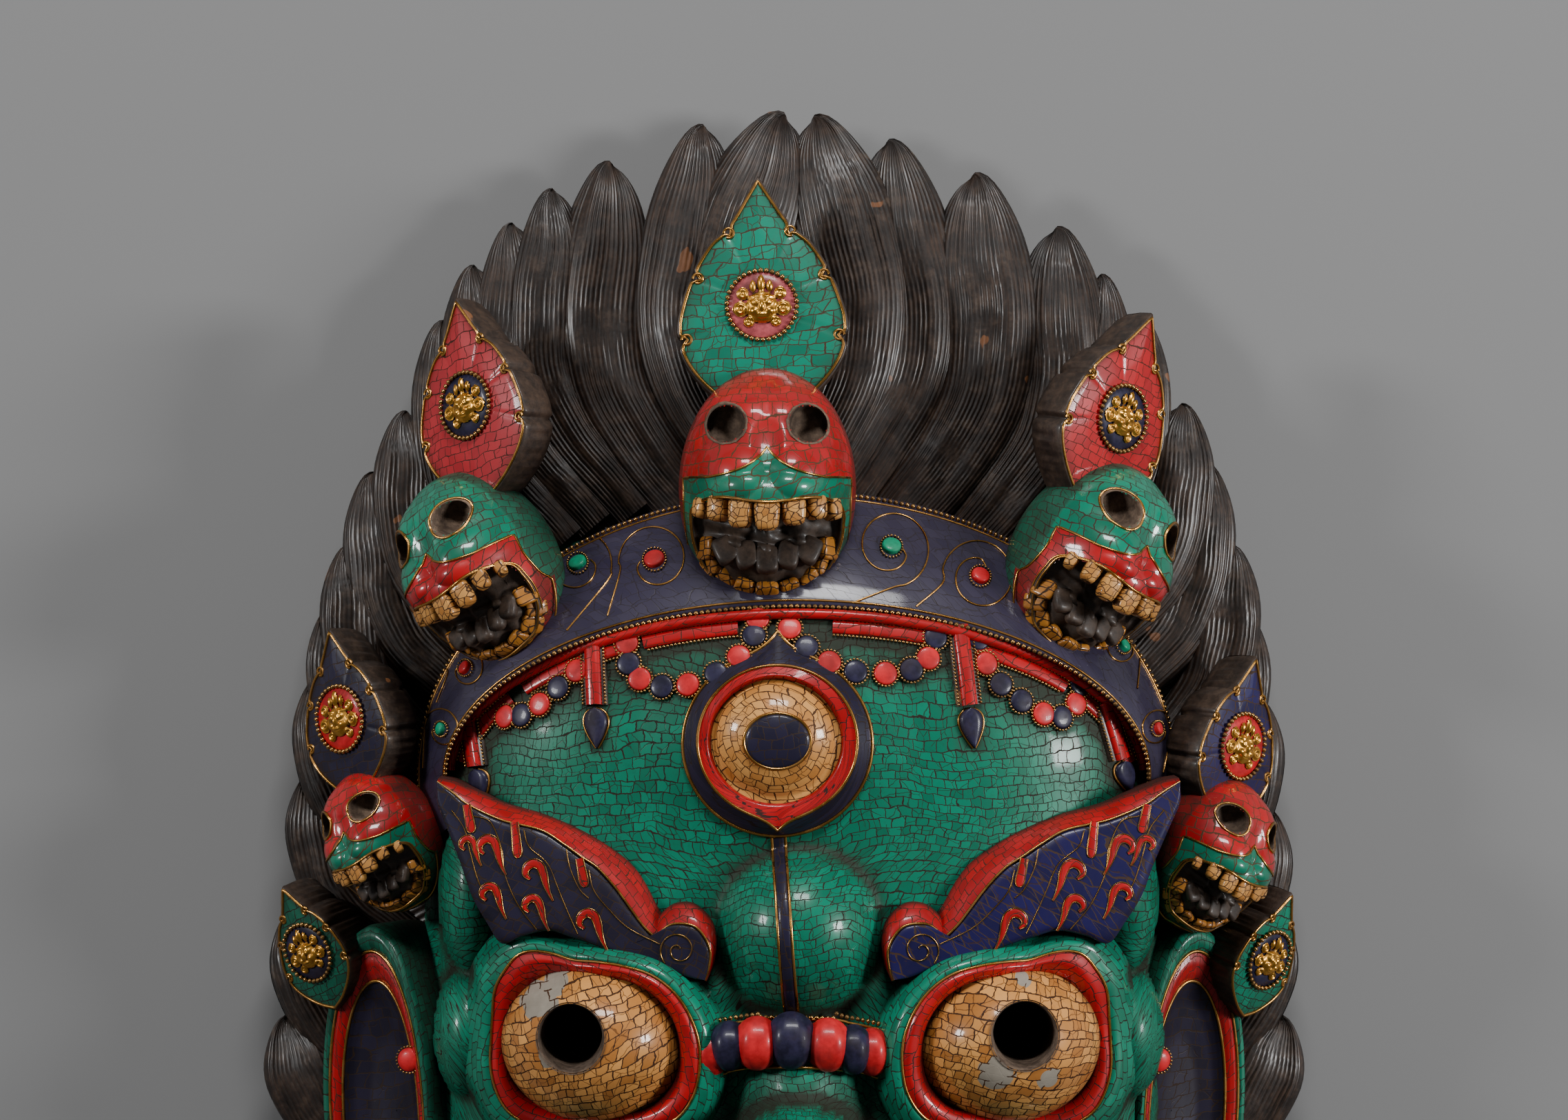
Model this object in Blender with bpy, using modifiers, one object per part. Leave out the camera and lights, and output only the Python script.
"""A carved guardian mask that lies on its flat back: metres, +Z out of the face, +Y to the crown.

The carving is one block of wood. It is drawn on a block 824 units tall, so that a carver's
unit is a millimetre at the real size. Seven small gilt faces sit on the seats of its leaves.
"""

import math

import bmesh
import bpy
import numpy as np
from mathutils import Matrix, Vector

# Real sizes that a maker sets one by one
MASK_HEIGHT = 0.824
BOARD_THICKNESS = 0.034
PUPIL_BORE = 0.036
LEAF_DEPTH = 0.030
SEAT_DIAMETER = 0.037
SEAT_HEIGHT = 0.0015
ORNAMENT_WIDTH = 0.030
ORNAMENT_DEPTH = 0.008
ORNAMENT_GAP = 0.0003
EAR_DEPTH = 0.050
BROW_DEPTH = 0.055
CARVING_DETAIL = 0.0020
CARVING_TRIANGLES = 6900

UNIT = MASK_HEIGHT / 824
SINK = 25 * UNIT

# The head that carries the face, in carver's units: straight sides between two round ends
HEAD_X = 7
HEAD_HALF_WIDTH = 210
CROWN_Y, CROWN_REACH = 43, 172
JAW_Y, JAW_REACH = -160, 184
HEAD_RISE = 150
HEAD_SQUARENESS = 2.6
FACE_X = 8
EYE_X, EYE_Y = 110, -96
PUPIL_X, PUPIL_Y = 119, -90
PUPIL_TURN = 6
MOUTH_Y = -268

# The hollow behind the face
HOLLOW_Y = -38
HOLLOW_HALF_WIDTH, HOLLOW_HALF_HEIGHT, HOLLOW_RISE = 158, 196, 104

# Materials: colour, roughness, metallic
WOOD = ((0.060, 0.047, 0.040), 0.45, 0.0)
GILT = ((0.72, 0.46, 0.16), 0.32, 1.0)


def collection_named(name):
    made = bpy.data.collections.new(name)
    bpy.context.scene.collection.children.link(made)
    return made


def clear_scene():
    for old in list(bpy.data.objects):
        bpy.data.objects.remove(old, do_unlink=True)


def material_named(name, look):
    colour, roughness, metallic = look
    made = bpy.data.materials.new(name)
    made.use_nodes = True
    shader = made.node_tree.nodes["Principled BSDF"]
    shader.inputs["Base Color"].default_value = (*colour, 1.0)
    shader.inputs["Roughness"].default_value = roughness
    shader.inputs["Metallic"].default_value = metallic
    return made


def object_from(name, bm, home, matrix=None):
    """Puts a bmesh in a new object of a collection."""
    mesh = bpy.data.meshes.new(name)
    bmesh.ops.recalc_face_normals(bm, faces=bm.faces)
    bm.to_mesh(mesh)
    bm.free()
    made = bpy.data.objects.new(name, mesh)
    home.objects.link(made)
    if matrix is not None:
        made.matrix_world = matrix
    return made


def baked(obj):
    """Replaces an object's mesh with its evaluated one, and drops the modifiers."""
    bpy.context.view_layer.update()
    graph = bpy.context.evaluated_depsgraph_get()
    mesh = bpy.data.meshes.new_from_object(obj.evaluated_get(graph))
    obj.modifiers.clear()
    obj.data = mesh
    return in_order(obj)


def in_order(obj):
    """Numbers the corners and faces of a skin by their place, so that each build is the same."""
    mesh = obj.data
    places = np.empty(len(mesh.vertices) * 3, np.float32)
    mesh.vertices.foreach_get("co", places)
    places = places.reshape(-1, 3)
    order = np.lexsort(places.T)
    number = np.empty_like(order)
    number[order] = np.arange(len(order))
    faces = [[int(number[i]) for i in face.vertices] for face in mesh.polygons]
    faces = sorted(face[face.index(min(face)) :] + face[: face.index(min(face))] for face in faces)
    sorted_mesh = bpy.data.meshes.new(mesh.name)
    sorted_mesh.from_pydata(places[order].tolist(), [], faces)
    obj.data = sorted_mesh
    bpy.data.meshes.remove(mesh)
    return obj


def boolean(target, operation, others, home):
    """Joins to a target, or cuts from it, all the objects given, which are then removed."""
    tools = collection_named(target.name + "_" + operation.lower())
    for other in others:
        home.objects.unlink(other)
        tools.objects.link(other)
    modifier = target.modifiers.new(operation.title(), "BOOLEAN")
    modifier.operation = operation
    modifier.operand_type = "COLLECTION"
    modifier.collection = tools
    modifier.solver = "EXACT"
    modifier.use_self = True
    baked(target)
    bm = bmesh.new()
    bm.from_mesh(target.data)
    bmesh.ops.triangulate(bm, faces=bm.faces)
    bmesh.ops.remove_doubles(bm, verts=bm.verts, dist=0.00001)
    bmesh.ops.dissolve_degenerate(bm, edges=bm.edges, dist=0.00001)
    bm.to_mesh(target.data)
    bm.free()
    for other in others:
        bpy.data.objects.remove(other, do_unlink=True)
    bpy.data.collections.remove(tools)
    return target


def fused(target, others):
    """Joins overlapping closed forms into one skin, as if they were carved from one block."""
    bm = bmesh.new()
    for part in (target, *others):
        part.data.transform(part.matrix_world)
        bm.from_mesh(part.data)
    bm.to_mesh(target.data)
    bm.free()
    target.matrix_world = Matrix.Identity(4)
    for other in others:
        bpy.data.objects.remove(other, do_unlink=True)
    skin = target.modifiers.new("Skin", "REMESH")
    skin.mode = "VOXEL"
    skin.voxel_size = CARVING_DETAIL
    return outer_skin(baked(target))


def outer_skin(obj):
    """Keeps the largest closed skin of an object, and drops crumbs that no edge joins to it."""
    bm = bmesh.new()
    bm.from_mesh(obj.data)
    bm.faces.ensure_lookup_table()
    bm.faces.index_update()
    group = [-1] * len(bm.faces)
    sizes = []
    for start in bm.faces:
        if group[start.index] >= 0:
            continue
        number = len(sizes)
        sizes.append(0)
        found = [start]
        group[start.index] = number
        while found:
            face = found.pop()
            sizes[number] += 1
            for edge in face.edges:
                for other in edge.link_faces:
                    if group[other.index] < 0:
                        group[other.index] = number
                        found.append(other)
    keep = sizes.index(max(sizes))
    bmesh.ops.delete(bm, geom=[f for f in bm.faces if group[f.index] != keep], context="FACES")
    bm.to_mesh(obj.data)
    bm.free()
    return obj


def thinned(obj, most):
    """Merges the smallest facets until no more triangles are left than asked."""
    count = sum(len(face.vertices) - 2 for face in obj.data.polygons)
    thin = obj.modifiers.new("Thin", "DECIMATE")
    thin.ratio = min(1.0, most / count)
    return outer_skin(baked(obj))


def ball(name, centre, radii, home, segments=12, rings=8, turn=None):
    """A sphere primitive stretched to three radii, in carver's units."""
    bm = bmesh.new()
    bmesh.ops.create_uvsphere(bm, u_segments=segments, v_segments=rings, radius=1)
    matrix = Matrix.Translation(Vector(centre) * UNIT)
    matrix = matrix @ (turn or Matrix.Identity(4)) @ Matrix.Diagonal((*(r * UNIT for r in radii), 1))
    bmesh.ops.transform(bm, matrix=matrix, verts=bm.verts)
    return object_from(name, bm, home)


def block(name, centre, sizes, home, turn=None):
    """A cube primitive with three side lengths, in carver's units."""
    bm = bmesh.new()
    bmesh.ops.create_cube(bm, size=1)
    matrix = Matrix.Translation(Vector(centre) * UNIT)
    matrix = matrix @ (turn or Matrix.Identity(4)) @ Matrix.Diagonal((*(s * UNIT for s in sizes), 1))
    bmesh.ops.transform(bm, matrix=matrix, verts=bm.verts)
    return object_from(name, bm, home)


def rod(name, diameter, length, matrix, home, segments=20):
    """A cylinder primitive along its own Z, in metres."""
    bm = bmesh.new()
    bmesh.ops.create_cone(
        bm, cap_ends=True, segments=segments, radius1=diameter / 2, radius2=diameter / 2, depth=length
    )
    bmesh.ops.transform(bm, matrix=matrix, verts=bm.verts)
    return object_from(name, bm, home)


def from_curve(curve, name, home, matrix):
    """Makes a mesh of a curve object, welds its caps and removes the curve."""
    holder = bpy.data.objects.new(name + "_curve", curve)
    home.objects.link(holder)
    bpy.context.view_layer.update()
    graph = bpy.context.evaluated_depsgraph_get()
    mesh = bpy.data.meshes.new_from_object(holder.evaluated_get(graph))
    bpy.data.objects.remove(holder, do_unlink=True)
    bm = bmesh.new()
    bm.from_mesh(mesh)
    bpy.data.meshes.remove(mesh)
    bmesh.ops.remove_doubles(bm, verts=bm.verts, dist=0.00002)
    bmesh.ops.transform(bm, matrix=matrix, verts=bm.verts)
    return object_from(name, bm, home)


def slab(name, outline, depth, matrix, home, edge=0.0):
    """A flat outline in carver's units, carved down from z = 0 to -depth, with a rounded rim."""
    curve = bpy.data.curves.new(name, "CURVE")
    curve.dimensions = "2D"
    curve.fill_mode = "BOTH"
    curve.extrude = depth / 2 - edge
    curve.bevel_depth = edge
    curve.bevel_resolution = 1
    curve.offset = -edge
    spline = curve.splines.new("POLY")
    spline.points.add(len(outline) - 1)
    for point, (x, y) in zip(spline.points, outline):
        point.co = (x * UNIT, y * UNIT, 0, 1)
    spline.use_cyclic_u = True
    return from_curve(curve, name, home, matrix @ Matrix.Translation((0, 0, -depth / 2)))


def strand(name, points, radii, flatness, home, sides=6):
    """A lock of carved hair: a bevelled curve through points in carver's units, flattened."""
    curve = bpy.data.curves.new(name, "CURVE")
    curve.dimensions = "3D"
    curve.bevel_depth = 1.0
    curve.bevel_resolution = sides // 2 - 2
    curve.use_fill_caps = True
    spline = curve.splines.new("POLY")
    spline.points.add(len(points) - 1)
    for point, (x, y, z), radius in zip(spline.points, points, radii):
        point.co = (x * UNIT, y * UNIT, z * UNIT / flatness, 1)
        point.radius = radius * UNIT
    return from_curve(curve, name, home, Matrix.Diagonal((1, 1, flatness, 1)))


# Forms of the face


def swell(x, y, centre, radii, rise, roundness=1.5):
    """A round rise of the surface, which is nought outside an ellipse."""
    away = ((x - centre[0]) / radii[0]) ** 2 + ((y - centre[1]) / radii[1]) ** 2
    return rise * max(0.0, 1.0 - away) ** roundness


def head_rise(x, y):
    """Height of the bare head, a squarish dome, in carver's units."""
    end = (y - CROWN_Y) / CROWN_REACH if y > 0 else (JAW_Y - y) / JAW_REACH
    away = math.hypot((x - HEAD_X) / HEAD_HALF_WIDTH, max(0.0, end))
    if away >= 1.0:
        return 0.0
    return HEAD_RISE * (1.0 - away**HEAD_SQUARENESS) ** (1.0 / HEAD_SQUARENESS)


def face_rise(x, y):
    """The head with the forehead, brow knot, nose, cheeks, lips and chin that stand out of it."""
    z = head_rise(x, y)
    z += swell(x, y, (-4, 65), (62, 62), 8)
    z += swell(x, y, (FACE_X, -130), (40, 60), 34)
    z += swell(x, y, (FACE_X, -226), (112, 26), 30)
    z += swell(x, y, (FACE_X, -322), (70, 30), 40)
    z += swell(x, y, (FACE_X, MOUTH_Y), (84, 32), -36, 0.5)
    for side in (-1, 1):
        z += swell(x, y, (FACE_X + side * EYE_X, EYE_Y), (70, 62), -14)
        z += swell(x, y, (FACE_X + side * 112, -190), (60, 48), 40, 0.9)
        z += swell(x, y, (FACE_X + side * 98, -286), (34, 44), 26)
    return z


def hollow_rise(x, y):
    away = math.hypot((x - HEAD_X) / HOLLOW_HALF_WIDTH, (y - HOLLOW_Y) / HOLLOW_HALF_HEIGHT)
    return HOLLOW_RISE * max(0.0, 1.0 - away**3) ** (1 / 3)


def domed(name, form, reach, segments, rings, most, home):
    """A sphere primitive spread over an oval, with its upper half moved to a form."""
    centre_y, half_width, half_height = reach
    bm = bmesh.new()
    bmesh.ops.create_uvsphere(bm, u_segments=segments, v_segments=rings, radius=1)
    for vert in bm.verts:
        x = HEAD_X + vert.co.x * half_width
        y = centre_y + vert.co.y * half_height
        z = form(x, y) * UNIT if vert.co.z > -0.001 else SINK * vert.co.z
        vert.co = (x * UNIT, y * UNIT, z)
    return thinned(object_from(name, bm, home), most)


def lofted(name, sections, home):
    """A bar made of quads between sections that have the same number of corners."""
    bm = bmesh.new()
    rows = [[bm.verts.new(Vector(corner) * UNIT) for corner in section] for section in sections]
    for row, after in zip(rows, rows[1:]):
        for i in range(len(row)):
            j = (i + 1) % len(row)
            bm.faces.new((row[i], row[j], after[j], after[i]))
    bm.faces.new(rows[0])
    bm.faces.new(rows[-1])
    return object_from(name, bm, home)


def crown_band(home):
    """The strap round the forehead, which slopes down from its inner edge to its outer one."""
    sections = []
    for step in range(25):
        angle = math.radians(-12 + 204 * step / 24)
        across, up = math.cos(angle), math.sin(angle)
        inner = (HEAD_X + 191 * across, CROWN_Y + 93 * up)
        outer = (HEAD_X + 209 * across, CROWN_Y + 157 * up)
        high = 96 + 42 * max(0.0, up) ** 0.8
        low = 62 + 24 * max(0.0, up)
        sections.append(((*inner, high - 30), (*inner, high), (*outer, low), (*outer, 10)))
    return lofted("crown_band", sections, home)


# Hair flames: tip, length, degrees that the lock leans away from straight up, and half width
UPPER_FLAMES = (
    ((-14, 410), 190, -2, 30),
    ((-56, 402), 190, -10, 24),
    ((-108, 381), 180, -14, 24),
    ((-138, 366), 165, -16, 20),
    ((-160, 347), 155, -17, 19),
    ((-181, 323), 145, -19, 19),
    ((-198, 292), 140, -21, 19),
    ((-219, 241), 130, -23, 20),
    ((-237, 207), 125, -24, 19),
    ((-250, 166), 120, -25, 19),
    ((-259, 132), 110, -27, 18),
    ((-266, 92), 105, -29, 19),
    ((-270, 38), 100, -32, 20),
    ((30, 408), 190, 4, 28),
    ((70, 394), 185, 9, 25),
    ((118, 374), 180, 14, 26),
    ((163, 344), 165, 17, 24),
    ((185, 318), 150, 19, 19),
    ((206, 295), 140, 21, 19),
    ((230, 245), 130, 23, 20),
    ((243, 212), 125, 24, 19),
    ((257, 166), 120, 25, 19),
    ((264, 128), 110, 27, 18),
    ((271, 80), 105, 29, 19),
    ((276, 18), 100, 33, 20),
)
LOWER_FLAMES = (
    ((280, -40), 100, 40, 22),
    ((283, -100), 95, 46, 24),
    ((281, -165), 95, 60, 24),
    ((269, -232), 95, 80, 24),
    ((246, -292), 95, 100, 24),
    ((211, -342), 95, 122, 24),
    ((164, -378), 95, 143, 24),
    ((110, -399), 90, 160, 23),
    ((54, -407), 85, 172, 23),
)
BEARD_FLAME = ((0, -409), 80, 180, 23)
FLAME_STEPS = 6
FLAME_FLATNESS = 0.62
FLAME_TIP_Z = 30.5


def flame(name, tip, length, lean, half_width, home):
    """A lock of hair that swings outwards from its root and then straightens to its tip."""
    lean = math.radians(lean)
    side = 1 if lean >= 0 else -1
    along = Vector((math.sin(lean), math.cos(lean), 0))
    across = Vector((math.cos(lean), -math.sin(lean), 0)) * side
    radial = min(1.0, math.hypot(tip[0] / 285, tip[1] / 415))
    points, radii = [], []
    for step in range(FLAME_STEPS + 1):
        t = step / FLAME_STEPS
        swing = 0.085 * length * math.sin(1.5 * math.pi * t)
        point = Vector((*tip, 0)) - along * length * (1 - t) + across * (swing + 0.085 * length * t**2)
        near = min(1.0, math.hypot(point.x / 285, point.y / 415) / radial)
        point.z = FLAME_TIP_Z + 66 * max(0.0, 1.0 - near)
        points.append(point)
        radii.append(half_width * (0.80 + 0.65 * t - 0.95 * t**3.5))
    return strand(name, points, radii, FLAME_FLATNESS, home)


def hair(home):
    """The hair board, with a flame for each row above and below."""
    rim = [
        (
            258 * math.cos(math.tau * i / 48),
            -8 + (372 if i < 24 else 352) * math.sin(math.tau * i / 48),
        )
        for i in range(48)
    ]
    board_top = Matrix.Translation((0, 0, BOARD_THICKNESS))
    flames = [flame(f"upper_{number}", *row, home) for number, row in enumerate(UPPER_FLAMES)]
    flames.append(flame("beard", *BEARD_FLAME, home))
    for number, ((x, y), length, lean, half_width) in enumerate(LOWER_FLAMES):
        flames.append(flame(f"lower_right_{number}", (x, y), length, lean, half_width, home))
        flames.append(flame(f"lower_left_{number}", (-x, y), length, -lean, half_width, home))
    return [slab("board", rim, BOARD_THICKNESS + SINK, board_top, home), *flames]


# Skulls and leaves of the crown: centre, height or size, yaw, pitch and lean in degrees


SKULLS = {
    "top": ((-9, 201, 108), 131, 0, 4, 0),
    "upper_left": ((-163, 158, 96), 110, -38, 8, 27),
    "upper_right": ((165, 162, 96), 113, 38, 8, -27),
    "lower_left": ((-218, 9, 78), 82, -31, 5, 24),
    "lower_right": ((232, 1, 78), 88, 33, 5, -22),
}
LEAVES = {
    "top": ((-12, 300, 112), 1.00, 0, 6, 2),
    "upper_left": ((-173, 246, 100), 0.85, -39, 10, 8),
    "upper_right": ((184, 239, 100), 0.86, 41, 10, -19),
    "middle_left": ((-243, 75, 80), 0.70, -41, 6, 10),
    "middle_right": ((251, 60, 80), 0.70, 45, 6, -12),
    "lower_left": ((-262, -54, 66), 0.54, -38, 0, 24),
    "lower_right": ((267, -58, 66), 0.54, 46, 0, -22),
}
SKULL_HALF_WIDTH = 0.367
SKULL_DEPTH = 0.44
SOCKET_X, SOCKET_Y, SOCKET_RADIUS = 0.163, 0.235, 0.087


def turned(centre, yaw, pitch, lean):
    """The frame of a crown piece, which turns outwards, tips back and leans in the picture plane."""
    place = Matrix.Translation(Vector(centre) * UNIT)
    yaw, pitch, lean = (math.radians(a) for a in (yaw, pitch, lean))
    turn = Matrix.Rotation(lean, 4, "Z") @ Matrix.Rotation(-pitch, 4, "X")
    return place @ turn @ Matrix.Rotation(yaw, 4, "Y")


def skull_block(home):
    """One skull a thousand units tall: dome, cheeks, sockets, open jaw and both rows of teeth."""
    size = 1000
    bm = bmesh.new()
    bmesh.ops.create_uvsphere(bm, u_segments=16, v_segments=11, radius=1)
    bmesh.ops.rotate(bm, matrix=Matrix.Rotation(math.pi / 2, 3, "X"), verts=bm.verts)
    for vert in bm.verts:
        x, y = vert.co.x * SKULL_HALF_WIDTH, vert.co.y * 0.5
        z = vert.co.z * SKULL_DEPTH
        if vert.co.z > 0:
            for side in (-1, 1):
                z += swell(x, y, (side * 0.17, 0.02), (0.15, 0.13), 0.05, 1)
            z += swell(x, y, (0, -0.12), (0.28, 0.11), 0.05, 1)
        vert.co = Vector((x, y, z)) * size * UNIT
    skull = object_from("skull", bm, home)
    cuts = [ball("jaw_gap", (0, -0.27 * size, 0.42 * size), (270, 165, 250), home, 12, 7)]
    for side in (-1, 1):
        socket = (side * SOCKET_X * size, SOCKET_Y * size, 0.36 * size)
        cuts.append(ball("socket", socket, (87, 90, 130), home, 10, 5))
    boolean(skull, "DIFFERENCE", cuts, home)
    teeth = []
    for number in range(-2, 3):
        angle = math.radians(number * 26)
        place = (270 * math.sin(angle), -160, 90 + 275 * math.cos(angle))
        teeth.append(block("tooth", place, (92, 110, 110), home, Matrix.Rotation(angle, 4, "Y")))
    for number in (-1, 0, 1):
        angle = math.radians(number * 30)
        place = (232 * math.sin(angle), -240 - 150 * math.cos(angle), 225 + 20 * math.cos(angle))
        teeth.append(block("tooth", place, (90, 90, 150), home, Matrix.Rotation(angle, 4, "Z")))
    return boolean(skull, "UNION", teeth, home)


def copy_of(source, name, matrix, home):
    made = bpy.data.objects.new(name, source.data.copy())
    home.objects.link(made)
    made.matrix_world = matrix
    return made


def leaf_outline(size):
    """A pointed leaf round its seat: full below, with an ogee point above and a notch each side."""
    right = []
    for step in range(12):
        t = step / 11
        y = -60 + 133 * t
        full = 49 * math.sin(math.pi * (0.12 + 0.88 * t) ** 0.78) ** 0.62 * (1 - 0.28 * t**3)
        right.append((full if step < 11 else 0.0, y))
    left = [(-x, y) for x, y in reversed(right[:-1])]
    return [(x * size, y * size) for x, y in right + left]


def leaf(name, place, size, home):
    """A leaf plaque, and the stem of wood behind it that joins it to the board."""
    matrix = turned(*place)
    (x, y, z), *_ = place
    foot = ball(name + "_foot", (0.97 * x, 0.97 * y, z / 2), (26 * size, 30 * size, z / 2 - 6), home, 10, 6)
    return [slab(name, leaf_outline(size), LEAF_DEPTH, matrix, home, 0.003), foot]


def seat(name, place, home):
    """The round flat seat on a leaf, which carries its ornament."""
    matrix = turned(*place) @ Matrix.Translation((0, 0, SEAT_HEIGHT / 2 - 0.002))
    return rod(name, SEAT_DIAMETER, SEAT_HEIGHT + 0.004, matrix, home, 20)


# Brows, eyes and ears


BROW_OUTLINE = (
    (-194, 43), (-136, 23), (-108, 12), (-90, -1), (-72, -19), (-69, -26), (-60, -23), (-50, -25),
    (-45, -40), (-47, -59), (-61, -62), (-88, -51), (-115, -40), (-135, -37), (-153, -44),
    (-160, -41), (-169, -24), (-181, -4), (-188, 13), (-191, 28),
)
BROW_Z = 176
BROW_SWEEP = 11


def brow(side, home):
    """A wing-shaped brow with a scroll at its inner end. It sweeps back towards its outer tip."""
    outline = [(side * x, y) for x, y in BROW_OUTLINE]
    place = Matrix.Translation((FACE_X * UNIT, 0, BROW_Z * UNIT))
    sweep = Matrix.Rotation(math.radians(-side * BROW_SWEEP), 4, "Y")
    return slab("brow", outline, BROW_DEPTH, place @ sweep, home, 0.004)


def eye(side, home):
    """An eyeball in its mound, with a raised lid all round."""
    centre = (FACE_X + side * EYE_X, EYE_Y, 132)
    turn = Matrix.Rotation(math.radians(side * 10), 4, "Y")
    mound = ball("mound", (centre[0], centre[1], 112), (62, 58, 46), home, 16, 7, turn)
    lid = []
    for i in range(17):
        angle = math.tau * i / 16
        x, y = 55 * math.cos(angle), 50 * math.sin(angle)
        z = 158 - 22 * (side * x + 20) / 60 - 8 * abs(math.sin(angle))
        lid.append((centre[0] + x, centre[1] + y, z))
    lids = [strand("lid", lid[start : start + 9], [8.5] * 9, 1.0, home) for start in (0, 8)]
    return [mound, *lids, ball("eyeball", centre, (50, 46, 54), home, 20, 12, turn)]


def nose(home):
    """The bulge over the nose ridge, the tip of the nose and its two wings."""
    forms = [
        ball("brow_knot", (FACE_X, -37, 138), (44, 47, 48), home, 20, 12),
        ball("nose_tip", (FACE_X, -166, 176), (34, 40, 58), home, 18, 11),
    ]
    for side in (-1, 1):
        turn = Matrix.Rotation(math.radians(side * 24), 4, "Z")
        forms.append(ball("wing", (FACE_X + side * 34, -180, 162), (23, 20, 36), home, 12, 8, turn))
        forms.append(ball("temple", (FACE_X + side * 176, -20, 92), (20, 40, 40), home, 10, 7))
        forms.append(ball("temple", (FACE_X + side * 180, -94, 88), (20, 34, 38), home, 10, 7))
    return forms


def ear(side, home):
    """A long ear with a hollow shell, turned out to the side, and a round plug at its lobe."""
    outline = [
        (
            (40 if math.cos(a) * side > 0 else 36) * math.cos(a),
            104 * math.sin(a) - 6,
        )
        for a in (math.tau * i / 20 for i in range(20))
    ]
    place = turned((side * 222, -136, 74), side * 34, 0, side * -3)
    shell = slab("ear", outline, EAR_DEPTH, place, home, 0.004)
    scoop = ball("scoop", (0, 6, 4), (27, 84, 14), home, 16, 6)
    bpy.context.view_layer.update()
    scoop.data.transform(place)
    boolean(shell, "DIFFERENCE", [scoop], home)
    plug = ball("plug", (side * 222, -218, 78), (20, 20, 16), home, 12, 6)
    return [shell, plug]


# Beads of the nose ridge, garland drops and the jaw


def nose_beads(home):
    beads = []
    for number in range(-3, 4):
        angle = math.radians(number * 21)
        centre = (FACE_X - 2 + 46 * math.sin(angle), -97 - 3 * abs(number), 142 + 30 * math.cos(angle))
        turn = Matrix.Rotation(angle, 4, "Y")
        beads.append(ball("bead", centre, (13, 16, 15), home, 10, 6, turn))
    return beads


def pendants(home):
    """The flat bars and pointed drops that hang from the band."""
    made = []
    bars = ((-102, 122, 82, -5), (93, 120, 82, 6), (-176, 78, 40, -14), (176, 70, 36, 14))
    for x, top, foot, lean in bars:
        z = face_rise(x, (top + foot) / 2) + 3
        turn = Matrix.Rotation(math.radians(lean), 4, "Z")
        made.append(block("bar", (x, (top + foot) / 2, z - 6), (11, top - foot, 18), home, turn))
        drop = (x + math.tan(math.radians(lean)) * 30, foot - 14, z - 6)
        made.append(ball("drop", drop, (7, 13, 10), home, 8, 6, turn))
    return made


def third_eye(home):
    lids = ball("third_lids", (-4, 66, 128), (51, 50, 38), home, 20, 7)
    return [lids, ball("third_eyeball", (-5, 66, 134), (36, 35, 38), home, 16, 9)]


def jaw(home):
    """Lips, both rows of teeth, four fangs and the tongue of the open mouth."""
    made = []
    ring = [math.tau * i / 24 for i in range(25)]
    lip = []
    for a in ring:
        lip.append((FACE_X + 86 * math.cos(a), MOUTH_Y + 38 * math.sin(a), 138 + 14 * math.sin(a) ** 2))
    for start in (0, 12):
        made.append(strand("lip", lip[start : start + 13], [13] * 13, 1.0, home))
    for number in range(-4, 5):
        x, away = FACE_X + number * 15, abs(number)
        upper = (x, -240 + 0.35 * away, 140 - 2 * away)
        lower = (x, -297 - 0.2 * away, 130 - 2 * away)
        made.append(block("upper_tooth", upper, (13, 20, 30), home))
        made.append(block("lower_tooth", lower, (13, 16, 30), home))
    for side in (-1, 1):
        x = FACE_X + side * 68
        upper = [(x, -232, 142), (x + side * 2, -256, 148), (x + side * 8, -276, 156)]
        lower = [(x - side * 6, -306, 138), (x - side * 4, -284, 144), (x + side * 2, -264, 150)]
        for fang in (upper, lower):
            made.append(strand("fang", fang, [8, 6, 2], 1.0, home))
    made.append(ball("tongue", (FACE_X, -286, 118), (44, 18, 34), home, 16, 8))
    return made


# Gilt ornaments


def gilt_face(home):
    """A little crowned guardian face with curled whiskers, flat behind, in metres round its foot."""
    size = ORNAMENT_WIDTH / UNIT
    depth = ORNAMENT_DEPTH / UNIT
    face = ball("gilt_face", (0, 0, 0), (0.30 * size, 0.30 * size, 0.8 * depth), home, 14, 8)
    extra = [
        ball("crown_point", (0, 0.34 * size, 0), (0.10 * size, 0.16 * size, 0.55 * depth), home, 8, 6),
        ball("nose", (0, -0.04 * size, 0.6 * depth), (0.06 * size, 0.10 * size, 0.4 * depth), home, 8, 6),
    ]
    for side in (-1, 1):
        curls = (((0.34, 0.10), 0.14), ((0.33, -0.11), 0.13), ((0.20, 0.26), 0.13), ((0.22, -0.24), 0.12))
        for (x, y), r in curls:
            centre = (side * x * size, y * size, 0)
            extra.append(ball("curl", centre, (r * size, r * size, 0.5 * depth), home, 8, 6))
        cheek = (side * 0.13 * size, 0.02 * size, 0.45 * depth)
        extra.append(ball("cheek", cheek, (0.1 * size, 0.09 * size, 0.4 * depth), home, 8, 6))
    boolean(face, "UNION", extra, home)
    thinned(face, 140)
    below = block("below", (0, 0, -2 * depth), (3 * size, 3 * size, 4 * depth), home)
    return boolean(face, "DIFFERENCE", [below], home)


def centre_on(mask, home):
    """Moves every piece so that the origin is under the middle of the mask."""
    xs = [vert.co.x for vert in mask.data.vertices]
    ys = [vert.co.y for vert in mask.data.vertices]
    shift = Matrix.Translation((-(min(xs) + max(xs)) / 2, -(min(ys) + max(ys)) / 2, 0))
    for obj in home.objects:
        obj.data.transform(shift @ obj.matrix_world)
        obj.matrix_world = Matrix.Identity(4)


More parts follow.
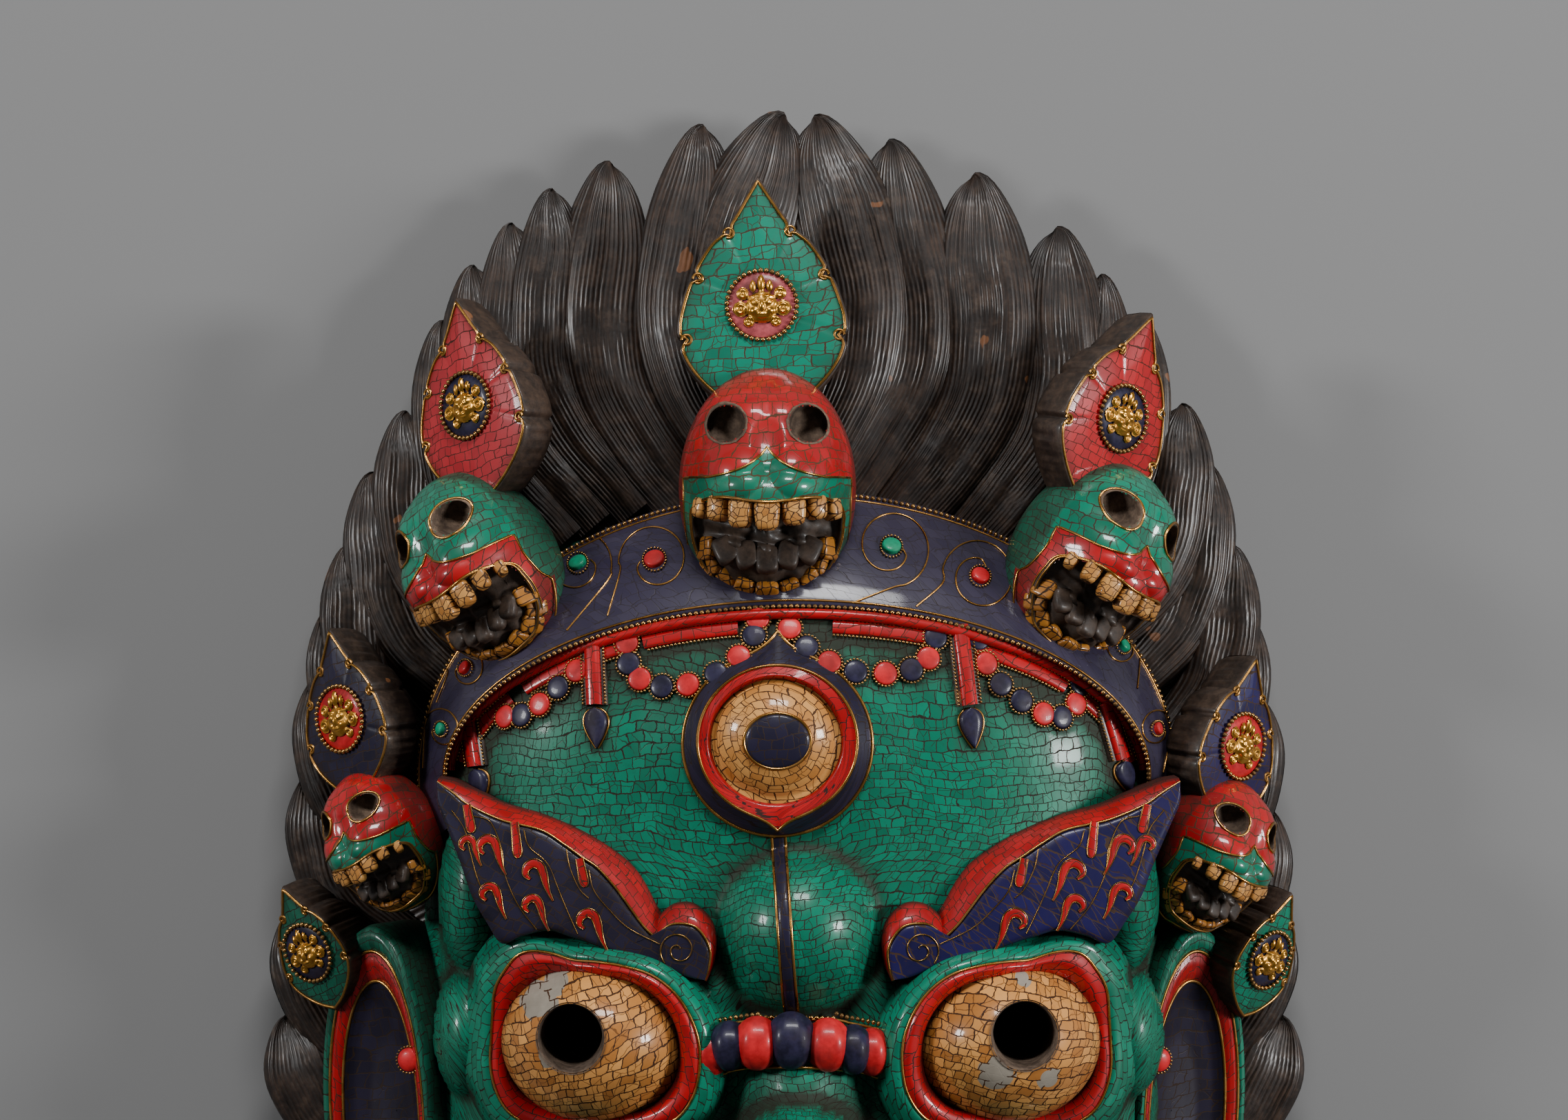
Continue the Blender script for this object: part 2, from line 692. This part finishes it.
def main():
    clear_scene()
    home = collection_named("guardian_mask")
    wood = material_named("carved_wood", WOOD)
    gilt = material_named("gilt_metal", GILT)

    middle = (CROWN_Y + CROWN_REACH + JAW_Y - JAW_REACH) / 2
    half_height = (CROWN_Y + CROWN_REACH - JAW_Y + JAW_REACH) / 2
    mask = domed("carved_mask", face_rise, (middle, HEAD_HALF_WIDTH, half_height), 72, 48, 2200, home)
    additions = [*hair(home), crown_band(home)]
    pattern = skull_block(home)
    for name, (centre, height, yaw, pitch, lean) in SKULLS.items():
        matrix = turned(centre, yaw, pitch, lean) @ Matrix.Scale(height / 1000, 4)
        additions.append(copy_of(pattern, "skull_" + name, matrix, home))
    bpy.data.objects.remove(pattern, do_unlink=True)
    for name, (centre, size, *turns) in LEAVES.items():
        additions += leaf("leaf_" + name, (centre, *turns), size, home)
    for side in (-1, 1):
        additions.append(brow(side, home))
        additions += eye(side, home) + ear(side, home)
    additions += third_eye(home) + nose(home) + nose_beads(home) + pendants(home) + jaw(home)
    thinned(fused(mask, additions), CARVING_TRIANGLES)

    reach = (HOLLOW_Y, HOLLOW_HALF_WIDTH, HOLLOW_HALF_HEIGHT)
    cuts = [domed("hollow", hollow_rise, reach, 32, 20, 700, home)]
    for side in (-1, 1):
        place = Matrix.Translation(Vector((FACE_X + side * PUPIL_X, PUPIL_Y, 130)) * UNIT)
        aim = place @ Matrix.Rotation(math.radians(side * PUPIL_TURN), 4, "Y")
        cuts.append(rod("pupil", PUPIL_BORE, 180 * UNIT, aim, home, 24))
    cuts.append(block("below_back", (0, 0, -50), (700, 1000, 100), home))
    boolean(mask, "DIFFERENCE", cuts, home)
    seats = [seat("seat_" + name, (centre, *turns), home) for name, (centre, _, *turns) in LEAVES.items()]
    boolean(mask, "UNION", seats, home)
    mask.data.materials.clear()
    mask.data.materials.append(wood)

    pattern = gilt_face(home)
    pattern.data.materials.clear()
    pattern.data.materials.append(gilt)
    for name, (centre, size, *turns) in LEAVES.items():
        lift = Matrix.Translation((0, 0, SEAT_HEIGHT + ORNAMENT_GAP))
        copy_of(pattern, "gilt_face_" + name, turned(centre, *turns) @ lift, home)
    bpy.data.objects.remove(pattern, do_unlink=True)
    centre_on(mask, home)
    for obj in home.objects:
        obj.data.shade_smooth()
        obj.data.set_sharp_from_angle(angle=math.radians(35))


if __name__ == "__main__":
    main()
